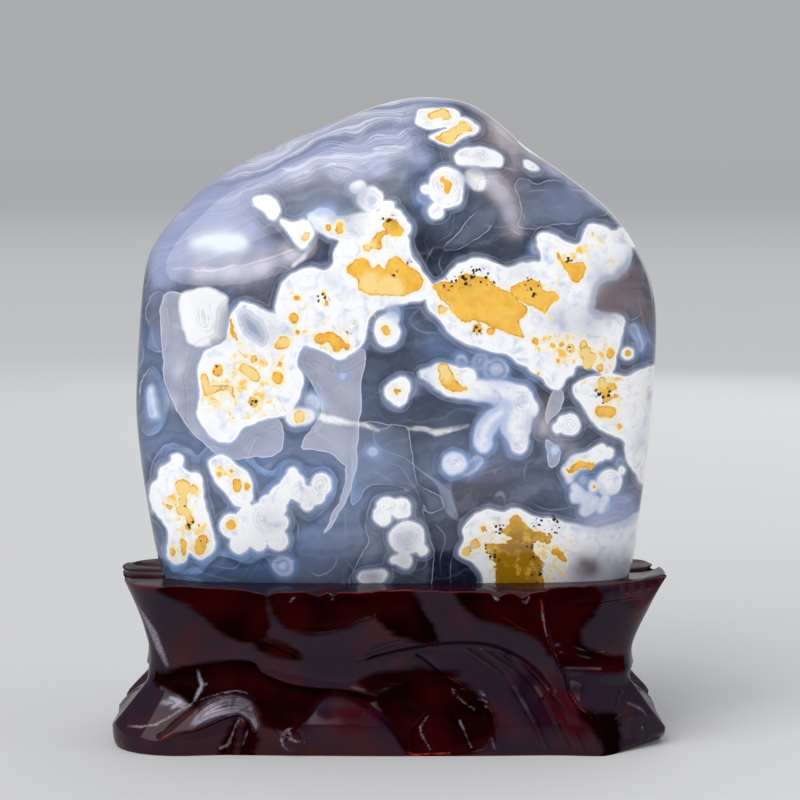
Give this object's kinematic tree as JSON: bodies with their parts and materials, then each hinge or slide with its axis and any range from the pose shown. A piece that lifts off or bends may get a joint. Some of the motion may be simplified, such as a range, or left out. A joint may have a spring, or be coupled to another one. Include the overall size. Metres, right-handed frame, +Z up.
{
  "type": "polished agate display stone on a carved wooden stand",
  "caption": "Upright polished agate boulder, lens-shaped in plan, standing in the socket of a low carved and lacquered wooden base.",
  "frame": {"origin": "under the middle of the whole, on the surface that the base stands on", "axes": "+Z up, along the height; +X to the right along the width, seen from in front of the stone's face; +Y back through the thickness, so the face looks towards -Y"},
  "size_m": [0.2196, 0.1032, 0.2544],
  "materials": {
    "stone": "polished agate, slate blue and milky grey with white, yellow and ochre eyes",
    "lacquered_wood": "carved hardwood under glossy, nearly black, dark red lacquer"
  },
  "bodies": {
    "root": {"agate": "stone", "carved_stand": "lacquered_wood"}
  },
  "joints": []
}
